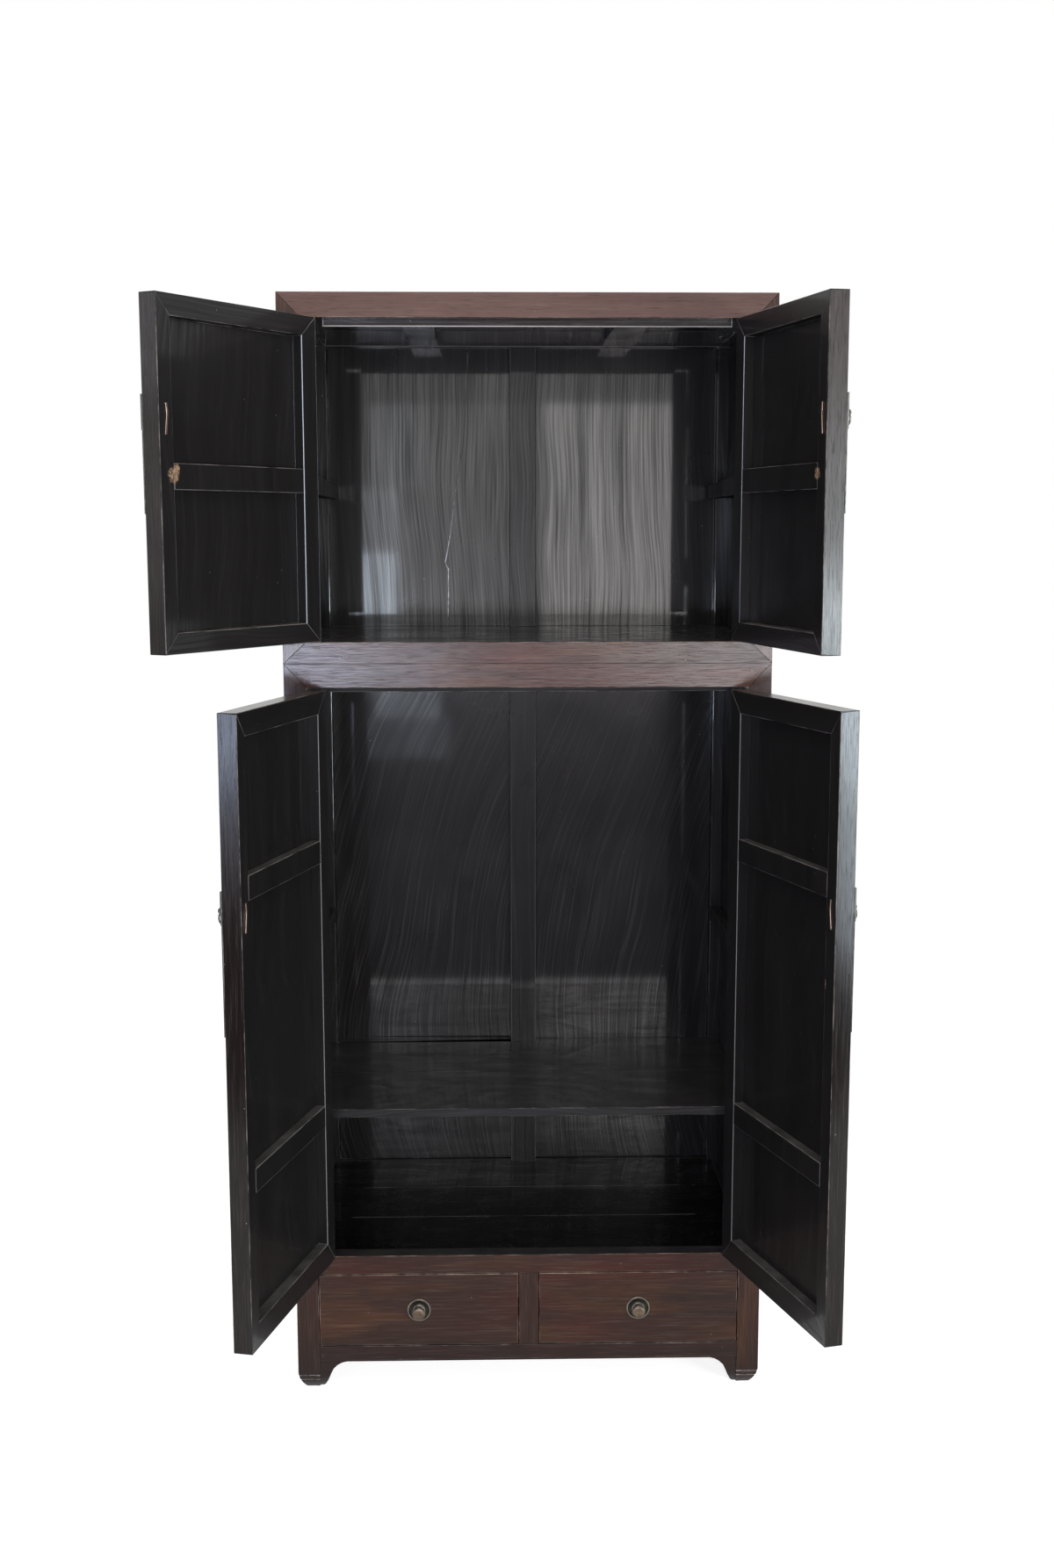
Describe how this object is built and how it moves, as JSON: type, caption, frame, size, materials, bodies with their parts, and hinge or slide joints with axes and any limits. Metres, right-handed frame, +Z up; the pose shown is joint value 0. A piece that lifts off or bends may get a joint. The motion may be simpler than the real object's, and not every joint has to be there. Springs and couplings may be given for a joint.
{
  "type": "two-stage wooden cabinet",
  "caption": "Tall stacked wooden cabinet: a chest on a cabinet, framed panel doors hung on both, a shelf inside, drawers with turned knobs below and ring pulls on the doors.",
  "frame": {"origin": "on the floor, midway between the feet from left to right and from front to back", "axes": "+X to the right as seen from the front, +Y to the back, +Z up; the doors stand open towards -Y at rest"},
  "size_m": [1.2321, 1.0012, 2.2],
  "materials": {
    "front_lacquer": "worn reddish brown lacquer over horizontal grain",
    "side_lacquer": "dark reddish brown lacquer outside, black inside",
    "door_lacquer": "dark lacquer, glossy inside with worn edges",
    "inside_lacquer": "glossy black lacquer with brush marks and dust",
    "inside_wood": "bare aged wood",
    "hinge_iron": "dark hand-forged iron",
    "pull_brass": "tarnished white brass",
    "knob_metal": "browned white brass, rubbed bright on the rims"
  },
  "bodies": {
    "lower_cabinet": {"lower_front_posts": "front_lacquer", "lower_rear_posts": "side_lacquer", "lower_head_rail": "front_lacquer", "lower_side_rails": "side_lacquer", "lower_back_frame": "side_lacquer", "drawer_rail": "front_lacquer", "bottom_rail": "front_lacquer", "drawer_divider": "front_lacquer", "lower_side_panels": "inside_lacquer", "lower_back_panels": "inside_lacquer", "lower_top_boards": "inside_lacquer", "cabinet_floor_boards": "inside_lacquer", "shelf": "inside_lacquer", "drawer_runners": "inside_wood", "dust_boards": "inside_lacquer", "lower_stop_strip": "inside_lacquer", "lower_hinge_plates": "hinge_iron"},
    "upper_chest": {"chest_front_posts": "front_lacquer", "chest_rear_posts": "side_lacquer", "chest_head_rail": "front_lacquer", "chest_floor_rail": "front_lacquer", "chest_side_rails": "side_lacquer", "chest_back_frame": "side_lacquer", "chest_side_panels": "inside_lacquer", "chest_back_panels": "inside_lacquer", "roof_boards": "inside_lacquer", "roof_battens": "inside_lacquer", "chest_floor_boards": "inside_lacquer", "chest_stop_strip": "inside_lacquer", "chest_hinge_plates": "hinge_iron"},
    "upper_left_door": {"upper_left_door_stiles": "door_lacquer", "upper_left_door_rails": "door_lacquer", "upper_left_door_panel": "door_lacquer", "upper_left_hinge_leaves": "hinge_iron", "upper_left_lock_plate": "pull_brass"},
    "upper_left_ring": {"upper_left_ring_pull": "pull_brass"},
    "upper_right_door": {"upper_right_door_stiles": "door_lacquer", "upper_right_door_rails": "door_lacquer", "upper_right_door_panel": "door_lacquer", "upper_right_hinge_leaves": "hinge_iron", "upper_right_lock_plate": "pull_brass"},
    "upper_right_ring": {"upper_right_ring_pull": "pull_brass"},
    "lower_left_door": {"lower_left_door_stiles": "door_lacquer", "lower_left_door_rails": "door_lacquer", "lower_left_door_panel": "door_lacquer", "lower_left_hinge_leaves": "hinge_iron", "lower_left_lock_plate": "pull_brass"},
    "lower_left_ring": {"lower_left_ring_pull": "pull_brass"},
    "lower_right_door": {"lower_right_door_stiles": "door_lacquer", "lower_right_door_rails": "door_lacquer", "lower_right_door_panel": "door_lacquer", "lower_right_hinge_leaves": "hinge_iron", "lower_right_lock_plate": "pull_brass"},
    "lower_right_ring": {"lower_right_ring_pull": "pull_brass"},
    "left_drawer": {"left_drawer_front": "front_lacquer", "left_drawer_box": "inside_wood", "left_drawer_knob": "knob_metal"},
    "right_drawer": {"right_drawer_front": "front_lacquer", "right_drawer_box": "inside_wood", "right_drawer_knob": "knob_metal"}
  },
  "joints": [
    {"name": "chest_lift", "type": "slide", "parent": "lower_cabinet", "child": "upper_chest", "axis": [0, 0, 1], "range_m": [0, 0.3]},
    {"name": "upper_left_hinge", "type": "hinge", "parent": "upper_chest", "child": "upper_left_door", "pos_m": [-0.431, -0.29, 1.545], "axis": [0, 0, -1], "range_deg": [-122.6, 47.4]},
    {"name": "upper_left_ring_swing", "type": "hinge", "parent": "upper_left_door", "child": "upper_left_ring", "pos_m": [-0.65602, -0.63146, 1.952], "axis": [0.5388, 0.8425, 0], "range_deg": [-12, 160]},
    {"name": "upper_right_hinge", "type": "hinge", "parent": "upper_chest", "child": "upper_right_door", "pos_m": [0.431, -0.29, 1.545], "axis": [0, 0, 1], "range_deg": [-102.8, 67.2]},
    {"name": "upper_right_ring_swing", "type": "hinge", "parent": "upper_right_door", "child": "upper_right_ring", "pos_m": [0.52705, -0.6875, 1.952], "axis": [0.2215, -0.9751, 0], "range_deg": [-12, 160]},
    {"name": "lower_left_hinge", "type": "hinge", "parent": "lower_cabinet", "child": "lower_left_door", "pos_m": [-0.431, -0.29, 0.293], "axis": [0, 0, -1], "range_deg": [-105.3, 64.7]},
    {"name": "lower_left_ring_swing", "type": "hinge", "parent": "lower_left_door", "child": "lower_left_ring", "pos_m": [-0.5443, -0.68293, 1.101], "axis": [0.2639, 0.9646, 0], "range_deg": [-12, 160]},
    {"name": "lower_right_hinge", "type": "hinge", "parent": "lower_cabinet", "child": "lower_right_door", "pos_m": [0.431, -0.29, 0.293], "axis": [0, 0, 1], "range_deg": [-108, 62]},
    {"name": "lower_right_ring_swing", "type": "hinge", "parent": "lower_right_door", "child": "lower_right_ring", "pos_m": [0.56268, -0.67716, 1.101], "axis": [0.309, -0.9511, 0], "range_deg": [-12, 160]},
    {"name": "left_drawer_slide", "type": "slide", "parent": "lower_cabinet", "child": "left_drawer", "axis": [0, -1, 0], "range_m": [0, 0.38]},
    {"name": "right_drawer_slide", "type": "slide", "parent": "lower_cabinet", "child": "right_drawer", "axis": [0, -1, 0], "range_m": [0, 0.38]}
  ]
}
